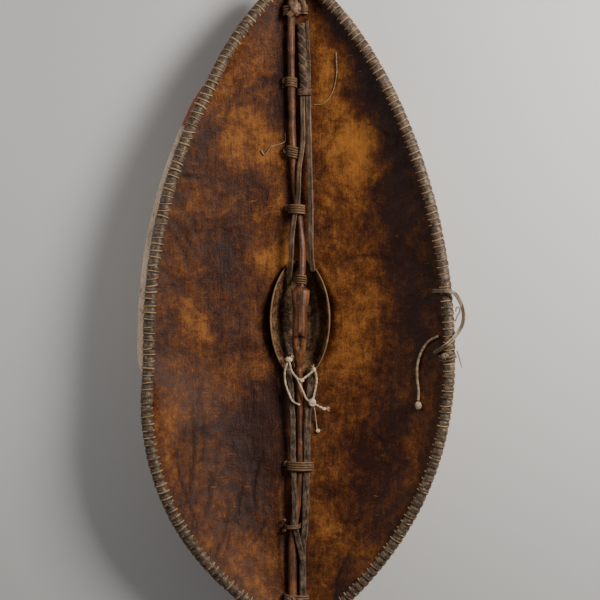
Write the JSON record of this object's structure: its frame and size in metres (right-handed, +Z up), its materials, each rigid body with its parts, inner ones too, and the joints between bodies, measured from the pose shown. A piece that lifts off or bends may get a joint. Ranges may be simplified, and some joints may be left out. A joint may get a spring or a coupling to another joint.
{
  "type": "hide shield",
  "caption": "Long leaf-shaped war shield of stiff hide, with a rolled stitched rim, a wooden staff and grip down its hollow back, and a leather hand guard.",
  "frame": {"origin": "middle of the small worn flat on top of the central boss, on which the shield rests", "axes": "+Z up out of the hollow back, +Y along the shield to its upper tip, +X to the right when looking down into the hollow"},
  "size_m": [0.5433, 1.1244, 0.1481],
  "materials": {
    "hide": "aged, worn smooth",
    "rim_strip": "dark, worn glossy",
    "staff_wood": "worn smooth",
    "guard_leather": "matt",
    "strap_hide": "rough",
    "thong": "rough",
    "tan_thong": "rough",
    "mending_cord": "worn"
  },
  "bodies": {
    "root": {"hide_body": "hide", "rim_binding": "rim_strip", "staff": "staff_wood", "hand_guard": "guard_leather", "upper_wrapping": "strap_hide", "upper_strap_left": "strap_hide", "upper_strap_right": "strap_hide", "lower_strap_left": "strap_hide", "lower_strap_right": "strap_hide", "staff_binding_top": "thong", "staff_binding_upper": "thong", "staff_binding_middle": "thong", "staff_binding_lower": "thong", "staff_binding_bottom": "thong", "grip_winding": "thong", "tip_lashing_top": "strap_hide", "tip_lashing_bottom": "strap_hide", "repair_cord": "mending_cord", "carry_strap": "tan_thong", "hanging_thong": "tan_thong", "hanging_thong_knot": "tan_thong", "binding_tail": "thong", "thread_loop": "thong", "repair_thread": "mending_cord"}
  },
  "joints": []
}
